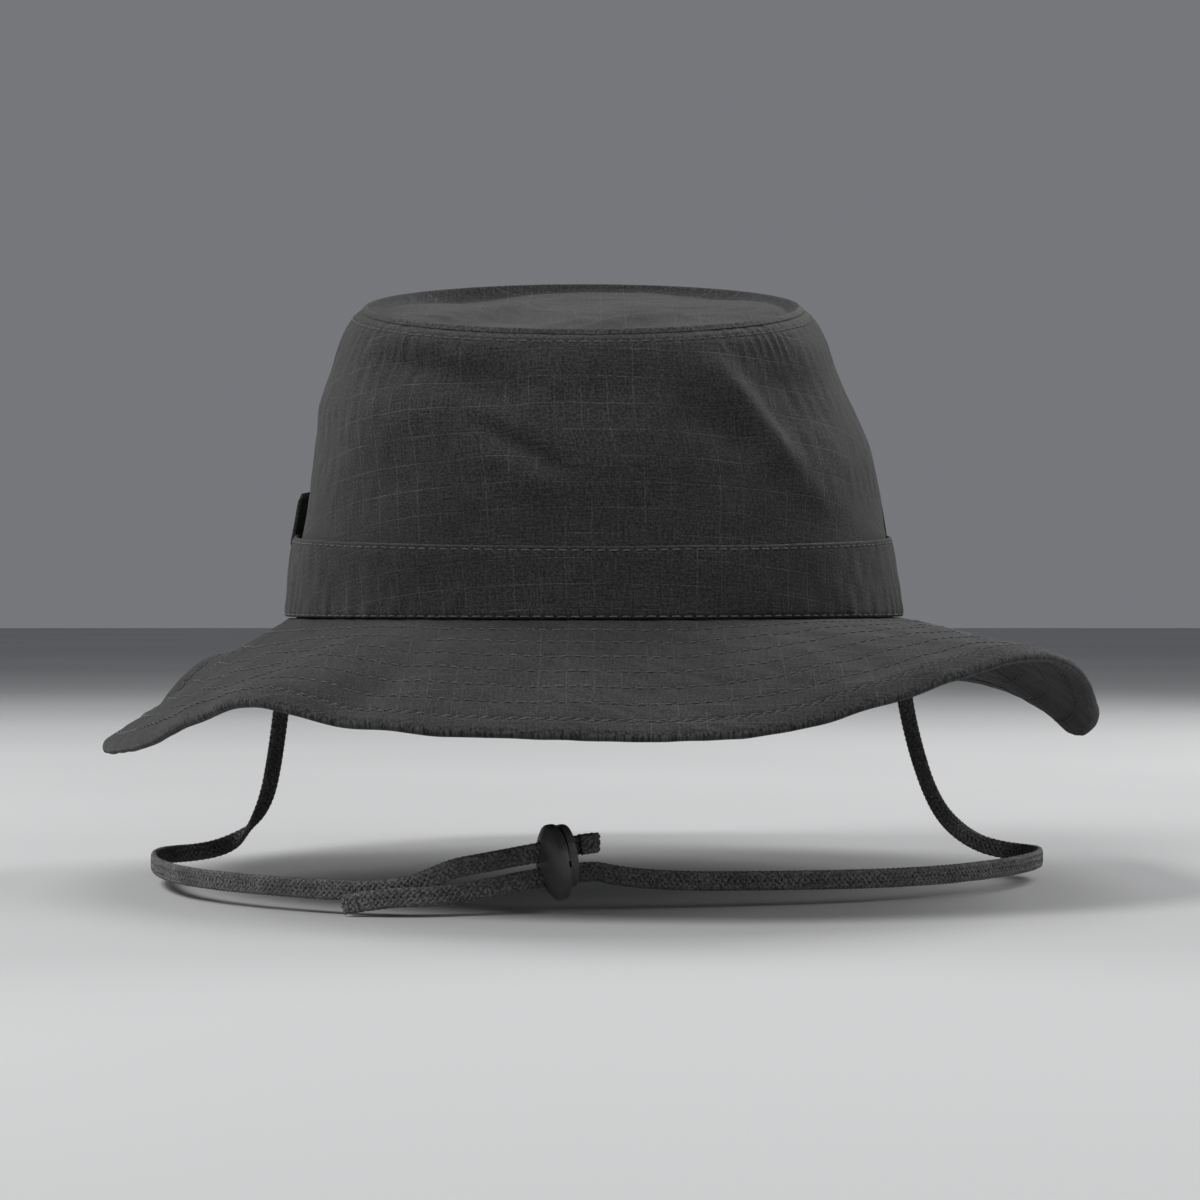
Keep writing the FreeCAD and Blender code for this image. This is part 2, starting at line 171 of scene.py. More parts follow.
LEFT_ROUTE = [
    (LEFT_ANCHOR, ANCHOR_BACK, -4.5),
    (LEFT_ANCHOR - 0.3, ANCHOR_BACK + 0.3, -10.0),
    (-96.4, 7.0, -19.0),
    (-97.8, 8.4, -30.0),
    (-99.6, 10.4, -42.0),
    (-102.0, 13.0, -53.5),
    (-106.4, 16.8, -62.0),
    (-112.0, 21.3, -67.4),
    (-118.4, 23.3, -70.3),
    (-125.3, 22.2, -71.5),
    (-130.9, 18.0, -71.6),
    (-133.9, 11.4, -71.6),
    (-134.7, 2.9, -71.6),
    (-134.0, -11.0, -71.6),
    (-129.4, -34.5, -71.6),
    (-120.0, -61.0, -71.6),
    (-103.5, -83.5, -71.6),
    (-88.0, -98.0, -71.5),
    (-72.3, -109.0, -71.6),
    (-57.0, -114.5, -71.3),
    (-47.5, -115.0, -68.9),
    tuple(UPPER_HOLE - SLIDE * STRAIGHT),
    tuple(UPPER_HOLE - SLIDE * (STRAIGHT - 5.0)),
    tuple(UPPER_HOLE + SLIDE * (BEYOND + 1.0)),
]
RIGHT_ROUTE = [
    (RIGHT_ANCHOR, ANCHOR_BACK, -4.5),
    (RIGHT_ANCHOR + 0.2, ANCHOR_BACK + 0.2, -10.0),
    (92.2, 5.6, -19.0),
    (94.2, 7.6, -30.0),
    (97.6, 11.4, -42.0),
    (101.4, 15.8, -52.0),
    (106.2, 20.6, -60.0),
    (112.4, 25.6, -65.8),
    (118.9, 28.6, -69.5),
    (125.8, 28.0, -71.2),
    (131.4, 24.0, -71.6),
    (134.3, 17.7, -71.6),
    (134.8, 9.5, -71.6),
    (132.4, -3.5, -71.6),
    (125.6, -21.5, -71.6),
    (114.6, -39.5, -71.6),
    (97.6, -60.5, -71.6),
    (77.0, -75.5, -71.4),
    (49.0, -86.5, -71.0),
    (21.0, -95.5, -70.4),
    (5.0, -101.0, -68.6),
    tuple(LOWER_HOLE + SLIDE * BEYOND),
    tuple(LOWER_HOLE - SLIDE * (STRAIGHT - 5.0)),
    tuple(LOWER_HOLE - SLIDE * STRAIGHT),
    (-47.0, -116.9, -72.8),
    (-54.0, -117.4, -72.8),
    (-61.5, -115.9, -73.8),
    (-69.0, -113.3, -75.2),
]
FLAT_UNTIL = 42               # along a strand, flat to the view up to here
UPRIGHT_FROM = 86             # along a strand, on edge from here on
FLOOR = -78.4                 # what the chin loop lies on
FLOOR_REACH = 9000

# Seams and mesh steps.
SEAM_GAP = 0.0004             # in radians, at each side seam
JOIN_GAP = 0.0005             # in radians, where a strip that goes all round meets itself
PANEL_STEPS = 460             # round half of the crown
BRIM_STEPS = 600              # round half of the brim
ROUND_STEPS = 721             # all the way round
ROW_STEPS = 900               # along a row of stitches

# Camera and soft lights: name, place and size in metres, power in watts. All lights aim at the hat.
CAMERA_PLACE = (0, -1.0, 0.0067)
CAMERA_LENS = 99
CAMERA_SENSOR = 36
WORLD_COLOUR = (0.9, 0.93, 1.0, 1)
WORLD_STRENGTH = 0.20
LIGHTS = [
    ("key_softbox", (-0.9, -0.9, 1.2), 0.6, 19),
    ("fill_softbox", (1.3, -0.9, 0.9), 1.2, 9),
    ("top_softbox", (0.1, 0.6, 1.8), 1.4, 9),
    ("rim_softbox", (1.0, 1.1, 0.8), 0.8, 13),
    ("left_rim_softbox", (-1.2, 0.9, 0.8), 0.8, 11),
]


# ---- Small helpers ---------------------------------------------------------
def link(obj):
    bpy.context.scene.collection.objects.link(obj)
    return obj


def mesh_object(name, points, faces, material):
    """New smooth-shaded mesh piece from points in millimetres."""
    mesh = bpy.data.meshes.new(name)
    mesh.from_pydata((np.asarray(points) * MM).tolist(), [], faces)
    mesh.update()
    mesh.polygons.foreach_set("use_smooth", [True] * len(mesh.polygons))
    mesh.materials.append(material)
    return link(bpy.data.objects.new(name, mesh))


def unit(vectors):
    """Vectors of length 1 in the same directions."""
    return vectors / np.maximum(np.linalg.norm(vectors, axis=-1, keepdims=True), 1e-9)


def distances(line):
    """How far along a line each of its points is."""
    return np.concatenate([[0], np.cumsum(np.linalg.norm(np.diff(line, axis=0), axis=1))])


def smoothstep(low, high, x):
    t = np.clip((x - low) / (high - low), 0, 1)
    return t * t * (3 - 2 * t)


def bell(x, width):
    return np.exp(-((x / width) ** 2))


def smooth(rows, column, at, period=None):
    """Values of one column at places between the rows, with smooth slopes."""
    table = np.array(rows, float)
    places, values = table[:, 0], table[:, column]
    at = np.asarray(at, float)
    if period:
        at = (at - places[0]) % period + places[0]
        places = np.concatenate([[places[-1] - period], places, places[:2] + period])
        values = np.concatenate([[values[-1]], values, values[:2]])
    before = np.maximum(np.arange(len(places)) - 1, 0)
    after = np.minimum(np.arange(len(places)) + 1, len(places) - 1)
    slopes = (values[after] - values[before]) / (places[after] - places[before])
    index = np.clip(np.searchsorted(places, at) - 1, 0, len(places) - 2)
    span = places[index + 1] - places[index]
    u = (at - places[index]) / span
    rise = values[index + 1] - values[index]
    start, end = slopes[index] * span, slopes[index + 1] * span
    bend = u * u * (3 * rise - 2 * start - end) + u ** 3 * (start + end - 2 * rise)
    return values[index] + u * start + bend


def ripple(a, b, seed, waves=14, low=0.6, high=1.6):
    """Smooth irregular field, about -1 to 1, of two coordinates counted in wavelengths."""
    rng = np.random.default_rng(seed)
    total = 0.0
    for _ in range(waves):
        heading = rng.uniform(0, 2 * math.pi)
        pace = rng.uniform(low, high) * 2 * math.pi
        shift = rng.uniform(0, 2 * math.pi)
        total = total + np.sin(pace * (a * math.cos(heading) + b * math.sin(heading)) + shift)
    return total / math.sqrt(waves)


# ---- The hat's surfaces, in millimetres ------------------------------------
def stack(x, y, z):
    """Points from their coordinates."""
    return np.stack(np.broadcast_arrays(x, y, z), axis=-1)


def wall_place(angle, share):
    """Plain crown wall, from the seam at share 0 to the tip at share 1."""
    inset = smooth(WALL_SHAPE, 1, share)
    shift = RING_SHIFT + smooth(WALL_SHAPE, 2, share)
    x = shift + (RING_HALF_WIDTH - inset * (RING_HALF_WIDTH - TIP_HALF_WIDTH)) * np.cos(angle)
    y = (RING_HALF_LENGTH - inset * (RING_HALF_LENGTH - TIP_HALF_LENGTH)) * np.sin(angle)
    return stack(x, y, share * (CROWN_HEIGHT + TIP_SLOPE * y))


def brim_place(angle, share):
    """Middle surface of the brim, from the seam at share 0 to the edge at share 1."""
    degrees = np.degrees(angle)
    drop = smooth(BRIM_EDGE, 1, degrees, 360)
    curl = smooth(BRIM_EDGE, 2, degrees, 360)
    reach = np.sqrt(BRIM_WIDTH ** 2 - drop ** 2 * (1 + curl ** 2 / 3))
    out = stack(np.cos(angle) / RING_HALF_WIDTH, np.sin(angle) / RING_HALF_LENGTH, 0 * angle)
    out = unit(out)
    fall = drop * ((1 - curl) * share + curl * share * share)
    return wall_place(angle, 0 * share) + out * (reach * share)[..., None] - stack(0, 0, fall)


def normals(place, angle, share):
    """Directions off a surface, to its outer or upper side."""
    step = 0.002
    along = place(angle + step, share) - place(angle - step, share)
    up = place(angle, share + step) - place(angle, share - step)
    normal = unit(np.cross(along, up))
    return normal * np.where(normal[..., 2:] < 0, -1, 1)


def offset(place, angle, share, distance):
    """Points off a surface by a distance."""
    return place(angle, share) + normals(place, angle, share) * np.asarray(distance)[..., None]


def height_of(share):
    """Height up the crown wall, from the seam."""
    return share * CROWN_HEIGHT


# ---- Relief of the cloth: small shapes added to the plain surfaces ----------
def crease(x, z, start, end, width, depth):
    """Valley (or ridge, for a negative depth) along a line, fading at its ends."""
    start, end = np.array(start, float), np.array(end, float)
    line = end - start
    length = np.linalg.norm(line)
    line /= length
    along = (x - start[0]) * line[0] + (z - start[1]) * line[1]
    across = (x - start[0]) * -line[1] + (z - start[1]) * line[0]
    fade = smoothstep(-0.25, 0.25, along / length) * smoothstep(1.25, 0.75, along / length)
    return -depth * bell(across, width) * fade


def creases(x, z, dents):
    return sum(crease(x, z, *dent) for dent in dents)


def from_side_seam(angle, radius):
    """Distance round the hat from the nearer side seam."""
    return np.abs(np.sin(angle)) * radius


def wall_wave(angle, share):
    """Soft waves and dents of the whole crown wall, with its lining."""
    base = wall_place(angle, share)
    x, y, z = base[..., 0], base[..., 1], base[..., 2]
    round_mm = angle * RING_HALF_LENGTH
    below_tip = (1 - share) * CROWN_HEIGHT
    wave = 0.55 * ripple(round_mm / 45, z / 45, 11) + 0.10 * ripple(round_mm / 11, z / 14, 12)
    wave = wave + np.where(y < 0, creases(x, z, FRONT_DENTS), 0)
    wave = wave + np.where(y > 0, creases(x, z, BACK_DENTS), 0)
    near_tip = smoothstep(1.0, 12, below_tip)
    drawn_in = -0.9 * smoothstep(0.80, 0.98, -np.cos(angle))
    return near_tip * (wave * smoothstep(24, 40, z) + drawn_in * smoothstep(0.0, 6, z))


def wall_relief(angle, share):
    """How far the crown cloth stands off its plain surface."""
    round_mm = angle * RING_HALF_LENGTH
    below_tip = (1 - share) * CROWN_HEIGHT
    corner = bell(np.abs(np.sin(angle)) - 0.66, 0.20)
    gathers = np.abs(ripple(round_mm / 9.0, below_tip / 30, 13)) * (0.05 + 0.24 * corner)
    relief = wall_wave(angle, share) - gathers * bell(below_tip - 4, 5 + 5 * corner)
    relief = relief - 0.9 * bell(below_tip, 1.5) - 0.30 * bell(below_tip - TIP_STITCH, 0.8)
    seam = bell(from_side_seam(angle, RING_HALF_LENGTH), 0.7)
    return relief - 0.4 * seam * smoothstep(0, 3, below_tip)


def band_relief(angle, share):
    """How far the band stands off the wall that it is sewn over."""
    round_mm = angle * RING_HALF_LENGTH
    height = height_of(share)
    relief = 0.28 * ripple(round_mm / 38, height / 30, 21) + 0.10 * ripple(round_mm / 9, height / 18, 22)
    side = 1 - np.abs(np.sin(angle))
    gathers = ripple(round_mm / 6.5, 0 * share, 23) * bell(height, 9) * (0.08 + 0.3 * side)
    relief = relief + gathers - 0.26 * bell(height - (BAND_HEIGHT - BAND_TOP_STITCH), 0.6)
    relief = relief - 0.28 * bell(height - BAND_FOOT_STITCH, 0.7)
    seam = bell(from_side_seam(angle, RING_HALF_LENGTH), 0.7)
    return np.maximum(relief - 0.35 * seam + 0.55, 0.05)


def brim_wave(angle, share):
    """Soft waves of the whole brim, through its thickness."""
    wave = 0.22 * ripple(angle * 5.0, share * 1.2, 31) + 0.07 * ripple(angle * 12, share * 2.2, 32)
    degrees = (np.degrees(angle) + 180) % 360 - 180
    crest = 2.3 * bell(share - 0.87, 0.10) * bell(degrees + 142, 17)
    ridge = 1.3 * bell(degrees - (-139 - 13 * share), 5.0 - 2 * share) * smoothstep(0.1, 0.4, share)
    ridge = ridge * smoothstep(0.95, 0.7, share)
    lip = 1.5 * bell(share - 0.90, 0.07) * bell(degrees + 48, 16)
    dip = -1.6 * smoothstep(0.25, 0.8, share) * bell(np.abs(degrees) - 176, 16)
    return wave * smoothstep(0.0, 0.3, share) + crest + ridge + lip + dip


def brim_quilt(angle, share):
    """Channels sewn into the brim's faces and the puffed cloth between them."""
    inward = (1 - share) * BRIM_WIDTH
    round_mm = angle * (RING_HALF_LENGTH + share * BRIM_WIDTH)
    quilt = 0.10 + 0.07 * ripple(round_mm / 13, inward / 26, 33)
    pull = 1 + 0.35 * ripple(round_mm / 10, 0 * share, 34)
    for row in BRIM_ROWS:
        quilt = quilt - 0.16 * pull * bell(inward - row, 0.9)
    quilt = quilt - 0.34 * bell(inward - sum(HEM_ROWS) / 2, 1.1)
    quilt = quilt + 0.15 * smoothstep(6.6, 5.6, inward)
    seam = bell(from_side_seam(angle, RING_HALF_LENGTH + share * BRIM_WIDTH), 0.9)
    return np.clip(quilt - 0.45 * seam, -0.4, 0.5)


def brim_upper_relief(angle, share):
    return brim_wave(angle, share) + brim_quilt(angle, share)


def brim_under_relief(angle, share):
    """The under face, measured from where the upper face would be without relief."""
    return brim_wave(angle, share) - brim_quilt(angle, share) - 2 * BRIM_HALF


# ---- Cloth pieces ----------------------------------------------------------
def cone_cloth(angle, slant, middle, radius, taper):
    """Flat pattern of cloth that wraps a cone: grain upright at the middle angle."""
    spread = (angle - middle) * taper
    apex = radius / taper + slant
    return stack(apex * np.sin(spread), -apex * np.cos(spread), 0 * spread)[..., :2]


def cloth_piece(name, points_outer, points_inner, pattern, material, wear=None):
    """Closed sheet from two grids of points, with its flat pattern as a UV map in metres."""
    rows, columns = points_outer.shape[:2]
    count = rows * columns
    index = np.arange(count).reshape(rows, columns)
    a, b, c, d = index[:-1, :-1], index[1:, :-1], index[1:, 1:], index[:-1, 1:]
    outer = np.stack([a, b, c, d], axis=-1).reshape(-1, 4)
    inner = outer[:, ::-1] + count
    border = np.concatenate([index[0, :], index[1:, -1], index[-1, -2::-1], index[-2:0:-1, 0]])
    following = np.roll(border, -1)
    rim = np.stack([border, following, following + count, border + count], axis=-1)
    faces = np.concatenate([outer, inner, rim])
    points = np.concatenate([points_outer.reshape(-1, 3), points_inner.reshape(-1, 3)])
    middle = points_outer[rows // 2, columns // 2] - points_inner[rows // 2, columns // 2]
    first = points[faces[0]]
    turned = np.dot(np.cross(first[1] - first[0], first[2] - first[0]), middle) < 0
    if turned:
        faces = faces[:, ::-1]
    obj = mesh_object(name, points, faces.tolist(), material)
    layer = obj.data.uv_layers.new(name="cloth")
    flat = np.concatenate([pattern.reshape(-1, 2)] * 2) * MM
    layer.data.foreach_set("uv", flat[faces.reshape(-1)].reshape(-1).astype(np.float32))
    if wear is not None:
        attribute = obj.data.attributes.new("wear", "FLOAT", "POINT")
        attribute.data.foreach_set("value", np.concatenate([wear.reshape(-1)] * 2).astype(np.float32))
    return obj


def half_angles(front, count):
    """Angles round the front or back half of the hat, between the side seams."""
    start = -math.pi if front else 0.0
    return np.linspace(start + SEAM_GAP, start + math.pi - SEAM_GAP, count)


def all_angles():
    """Angles right round the hat, for a strip that meets itself."""
    return np.linspace(JOIN_GAP, 2 * math.pi - JOIN_GAP, ROUND_STEPS)


def grid(angles, shares):
    return np.meshgrid(angles, shares, indexing="ij")


# ---- Materials -------------------------------------------------------------
class Nodes:
    """Short way to write a material's node tree."""

    def __init__(self, name):
        self.material = bpy.data.materials.new(name)
        self.material.use_nodes = True
        self.tree = self.material.node_tree
        self.shader = self.tree.nodes["Principled BSDF"]

    def add(self, kind, **settings):
        node = self.tree.nodes.new("ShaderNode" + kind)
        for key, value in settings.items():
            setattr(node, key, value)
        return node

    def wire(self, source, target):
        self.tree.links.new(source, target)

    def put(self, value, socket):
        if isinstance(value, bpy.types.NodeSocket):
            self.wire(value, socket)
        else:
            socket.default_value = value

    def math(self, operation, *values):
        node = self.add("Math", operation=operation)
        for value, socket in zip(values, node.inputs):
            self.put(value, socket)
        return node.outputs[0]

    def scaled(self, vector, factors):
        node = self.add("VectorMath", operation="MULTIPLY")
        self.wire(vector, node.inputs[0])
        node.inputs[1].default_value = factors
        return node.outputs[0]

    def noise(self, vector, scale, detail=3.0, roughness=0.5):
        node = self.add("TexNoise")
        self.wire(vector, node.inputs["Vector"])
        node.inputs["Scale"].default_value = scale
        node.inputs["Detail"].default_value = detail
        node.inputs["Roughness"].default_value = roughness
        return node.outputs["Fac"]

    def ramp(self, value, low, high, out_low=0.0, out_high=1.0):
        node = self.add("MapRange", interpolation_type="SMOOTHSTEP")
        self.wire(value, node.inputs["Value"])
        for socket, number in zip(node.inputs[1:5], (low, high, out_low, out_high)):
            socket.default_value = number
        return node.outputs[0]

    def mix(self, factor, a, b):
        node = self.add("Mix", data_type="RGBA")
        self.put(factor, node.inputs["Factor"])
        self.put(a, node.inputs[6])
        self.put(b, node.inputs[7])
        return node.outputs[2]

    def bump(self, height, distance, strength=1.0, below=None):
        node = self.add("Bump")
        self.wire(height, node.inputs["Height"])
        node.inputs["Distance"].default_value = distance
        node.inputs["Strength"].default_value = strength
        if below is not None:
            self.wire(below, node.inputs["Normal"])
        return node.outputs["Normal"]


def grid_line(nodes, coordinate, pitch, width):
    """1 on evenly spaced lines across the cloth, 0 between them."""
    turns = nodes.math("DIVIDE", coordinate, pitch)
    part = nodes.math("SUBTRACT", nodes.math("FRACT", turns), 0.5)
    away = nodes.math("MULTIPLY", nodes.math("ABSOLUTE", part), pitch)
    return nodes.ramp(away, 0.5 * pitch - width, 0.5 * pitch - 0.4 * width)


def woven_cloth(name, colour, light, ripstop=True, thread=0.42 * MM):
    """Matt woven cotton with slubs, a thread-scale weave and an optional ripstop grid.

    Noise scales are in cells per metre along the cloth's two directions.
    """
    n = Nodes(name)
    uv = n.add("UVMap", uv_map="cloth").outputs["UV"]
    split = n.add("SeparateXYZ")
    n.wire(uv, split.inputs[0])
    u, v = split.outputs[0], split.outputs[1]
    warp = n.noise(n.scaled(uv, (2600, 130, 1)), 1.0, 2.0)
    weft = n.noise(n.scaled(uv, (110, 2600, 1)), 1.0, 2.0)
    fleck = n.noise(n.scaled(uv, (1300, 1300, 1)), 1.0, 2.0, 0.7)
    cloud = n.noise(n.scaled(uv, (22, 22, 1)), 1.0, 3.0)
    threads = n.math("MULTIPLY", n.math("SINE", n.math("MULTIPLY", u, 2 * math.pi / thread)),
                     n.math("SINE", n.math("MULTIPLY", v, 2 * math.pi / thread)))
    slubs = n.math("MULTIPLY", n.math("ADD", warp, weft), 0.36)
    grain = n.math("ADD", slubs, n.math("MULTIPLY", fleck, 0.9))
    tone = n.ramp(grain, 0.68, 0.98)
    base = n.mix(tone, (*colour, 1), (*light, 1))
    height = n.math("ADD", n.math("MULTIPLY", threads, 0.25), grain)
    if ripstop:
        patch = n.ramp(n.noise(n.scaled(uv, (45, 45, 1)), 1.0, 2.0), 0.40, 0.62, 0.05, 1.0)
        upright = grid_line(n, u, 7.4 * MM, 0.22 * MM)
        level = grid_line(n, v, 8.8 * MM, 0.24 * MM)
        lines = n.math("MAXIMUM", n.math("MULTIPLY", upright, 0.75), level)
        frayed = n.ramp(fleck, 0.35, 0.62, 0.25, 1.0)
        broken = n.math("MULTIPLY", n.math("MULTIPLY", lines, patch), frayed)
        pale = tuple(min(1.0, 2.6 * c + 0.01) for c in light)
        base = n.mix(n.math("MULTIPLY", broken, 0.5), base, (*pale, 1))
        height = n.math("ADD", height, n.math("MULTIPLY", lines, 0.7))
    worn = n.add("Attribute", attribute_name="wear").outputs["Fac"]
    rubbed = n.math("MULTIPLY", worn, n.ramp(fleck, 0.35, 0.65))
    pale = tuple(2.2 * c + 0.006 for c in light)
    base = n.mix(n.math("MULTIPLY", rubbed, 0.6), base, (*pale, 1))
    shade = n.ramp(cloud, 0.3, 0.7, 0.86, 1.12)
    tinted = n.add("VectorMath", operation="SCALE")
    n.wire(base, tinted.inputs[0])
    n.wire(shade, tinted.inputs["Scale"])
    n.wire(tinted.outputs[0], n.shader.inputs["Base Color"])
    n.wire(n.ramp(grain, 0.5, 1.1, 0.96, 0.80), n.shader.inputs["Roughness"])
    n.wire(n.bump(height, 0.16 * MM, 0.9), n.shader.inputs["Normal"])
    n.shader.inputs["Specular IOR Level"].default_value = 0.25
    n.shader.inputs["Sheen Weight"].default_value = 0.10
    n.shader.inputs["Sheen Roughness"].default_value = 0.45
    return n.material


def fibre(name, colour, light, scale):
    """Twisted yarn or thread."""
    n = Nodes(name)
    place = n.add("TexCoord").outputs["Object"]
    fluff = n.noise(n.scaled(place, (scale, scale, scale)), 1.0, 3.0, 0.6)
    cloud = n.noise(n.scaled(place, (90, 90, 90)), 1.0, 2.0)
    tone = n.math("MULTIPLY", n.ramp(fluff, 0.3, 0.7), n.ramp(cloud, 0.3, 0.7, 0.6, 1.0))
    n.wire(n.mix(tone, (*colour, 1), (*light, 1)), n.shader.inputs["Base Color"])
    n.wire(n.ramp(fluff, 0.3, 0.7, 0.85, 0.6), n.shader.inputs["Roughness"])
    n.wire(n.bump(fluff, 0.10 * MM, 0.7), n.shader.inputs["Normal"])
    n.shader.inputs["Specular IOR Level"].default_value = 0.35
    n.shader.inputs["Sheen Weight"].default_value = 0.1
    return n.material


def moulded_plastic(name):
    """Black moulded plastic with a slight gloss, fine texture and rubbed spots."""
    n = Nodes(name)
    place = n.add("TexCoord").outputs["Object"]
    fine = n.noise(n.scaled(place, (2600, 2600, 2600)), 1.0, 2.0)
    flow = n.noise(n.scaled(place, (160, 160, 160)), 1.0, 4.0, 0.6)
    n.wire(n.mix(n.ramp(flow, 0.35, 0.7), (0.055, 0.055, 0.055, 1), (0.080, 0.080, 0.081, 1)),
           n.shader.inputs["Base Color"])
    rough = n.math("ADD", n.ramp(flow, 0.3, 0.7, 0.24, 0.36), n.math("MULTIPLY", fine, 0.08))
    n.wire(rough, n.shader.inputs["Roughness"])
    n.wire(n.bump(fine, 0.02 * MM, 0.5, n.bump(flow, 0.10 * MM, 0.3)), n.shader.inputs["Normal"])
    return n.material


# ---- Chin loop -------------------------------------------------------------
def route_line(route):
    """Points read along the smooth spline that has a route as its control points."""
    curve = bpy.data.curves.new("route", "CURVE")
    curve.dimensions = "3D"
    curve.resolution_u = 20
    spline = curve.splines.new("NURBS")
    spline.points.add(len(route) - 1)
    for point, place in zip(spline.points, route):
        point.co = (*(Vector(place) * MM), 1)
    spline.order_u = 3
    spline.use_endpoint_u = True
    carrier = link(bpy.data.objects.new("route", curve))
    bpy.context.view_layer.update()
    line = np.array([v.co for v in bpy.data.meshes.new_from_object(carrier).vertices]) / MM
    bpy.data.objects.remove(carrier)
    return line


def even_line(line, step):
    """The same line with points a fixed distance apart, and the distance at each."""
    walked = distances(line)
    at = np.linspace(0, walked[-1], int(walked[-1] / step) + 1)
    return np.stack([np.interp(at, walked, line[:, i]) for i in range(3)], axis=1), at


def ribbon_frames(line, at, flat_until, upright_from, flat_way):
    """Tangent, width and thickness directions: flat to the view near the anchor, then on edge."""
    tangent = unit(np.gradient(line, axis=0))
    turn = smoothstep(flat_until, upright_from, at)[:, None]
    wide = np.array(flat_way, float) * (1 - turn) + np.array((0, 0, 1.0)) * turn
    wide = unit(wide - tangent * np.sum(wide * tangent, axis=1, keepdims=True))
    return tangent, wide, np.cross(tangent, wide)


def stadium(turn, half_width, half_thickness):
    """Round-ended flat outline, as offsets across and through a ribbon, for turns from 0 to 1."""
    angle = 2 * math.pi * turn
    across = half_width * np.sign(np.cos(angle)) * np.abs(np.cos(angle)) ** 0.8
    through = half_thickness * np.sign(np.sin(angle)) * np.abs(np.sin(angle)) ** 0.55
    return across, through


def tube_faces(rings, sides, start):
    """Faces of a capped tube whose points come ring by ring, from one index on."""
    index = np.arange(rings * sides).reshape(rings, sides) + start
    following = np.roll(index, -1, axis=1)
    quads = np.stack([index[:-1], following[:-1], following[1:], index[1:]], axis=-1).reshape(-1, 4)
    return quads.tolist() + [index[0, ::-1].tolist(), index[-1].tolist()]


def braid(name, line, frames, at, material):
    """Flat tubular braid: yarns that cross over and under round a flat core."""
    _, wide, thick = frames
    points, faces = [], []
    carriers, sides, core_sides, pitch = 8, 6, 12, 14.0
    yarn_width, yarn_height, under_yarn = 1.05, 0.72, 0.05
    yarn_in, crossing = 0.45, 0.17
    half_width = BRAID_WIDTH / 2 - yarn_in
    half_thickness = BRAID_THICKNESS / 2 - yarn_in
    turns = [2 * math.pi * i / sides for i in range(sides)]
    for way in (1, -1):
        for k in range(carriers):
            turn = way * at / pitch + k / carriers
            across, through = stadium(turn, half_width, half_thickness)
            lift = crossing * way * np.cos(2 * math.pi * carriers * at / pitch)
            ahead = stadium(turn + 0.01 * way, half_width, half_thickness)
            out = unit(np.stack([(ahead[1] - through) * way, -(ahead[0] - across) * way], axis=1))
            aside = (across + lift * out[:, 0])[:, None]
            above = (through + lift * out[:, 1])[:, None]
            centre = line + wide * aside + thick * above
            outward = wide * out[:, :1] + thick * out[:, 1:]
            side = np.cross(unit(np.gradient(centre, axis=0)), outward)
            rings = [centre + side * (math.cos(a) * yarn_width / 2) +
                     outward * (math.sin(a) * yarn_height / 2) for a in turns]
            start = sum(len(p) for p in points)
            points.append(np.stack(rings, axis=1).reshape(-1, 3))
            faces += tube_faces(len(at), sides, start)
    core_turns = np.arange(core_sides) / core_sides
    across, through = stadium(core_turns, half_width - under_yarn, half_thickness - under_yarn)
    start = sum(len(p) for p in points)
    core = line[:, None] + wide[:, None] * across[None, :, None] + thick[:, None] * through[None, :, None]
    points.append(core.reshape(-1, 3))
    faces += tube_faces(len(at), core_sides, start)
    return mesh_object(name, np.concatenate(points), faces, material)


def make_strand(name, route, node, material, flat_way):
    """One strand of the chin loop, from its anchor to its end."""
    line, at = even_line(route_line(route), 0.6)
    frames = ribbon_frames(line, at, FLAT_UNTIL, UPRIGHT_FROM, flat_way)
    strand = braid(name, line, frames, at, material)
    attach(strand, LOOP)
    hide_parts(node)


def make_cord_end(yarn):
    """Tip of the left strand, folded over and sewn so that it can't slip back through the slider."""
    start = UPPER_HOLE + SLIDE * (BEYOND - 1.2) + SLIDE_FRONT * 0.3
    bends = [(0.0, 1.3), (2.6, 1.3), (4.6, 1.1), (5.0, 0.1), (4.6, -0.9), (2.4, -1.3), (0.4, -1.4)]
    route = [tuple(start + SLIDE * ahead + SLIDE_FRONT * aside - SLIDE_UP * 0.05 * ahead)
             for ahead, aside in bends]
    line, at = even_line(route_line(route), 0.4)
    fold = braid("chin_cord_left_end", line, ribbon_frames(line, at, -2, -1, (0, 0, 1)), at, yarn)
    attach(fold, LOOP)
    return fold


def make_chin_loop(yarn):
    end = make_cord_end(yarn)
    make_strand("chin_cord_left_braid", LEFT_ROUTE, "chin_cord_left", yarn, (0.80, 0.60, 0))
    make_strand("chin_cord_right_braid", RIGHT_ROUTE, "chin_cord_right", yarn, (0.80, -0.60, 0))


def make_tacks(thread):
    """Two short rows of stitches that hold the folded end of the right strand."""
    end = Vector(RIGHT_ROUTE[-1])
    back = (Vector(RIGHT_ROUTE[-2]) - end).normalized()
    front = back.cross(Vector((0, 0, 1))).normalized()
    up = front.cross(back)
    rows = []
    for distance in (1.8, 4.6):
        middle = end + back * distance + front * (BRAID_THICKNESS / 2)
        line = np.array([tuple(middle + up * height) for height in np.linspace(-2.1, 2.1, 9)])
        rows.append((line, np.repeat(np.array([tuple(front)]), 9, axis=0)))
    tacks = stitch_rows("cord_end_tacks", rows, thread, LOOP, stitch=1.0, gap=0.3, thickness=0.36)


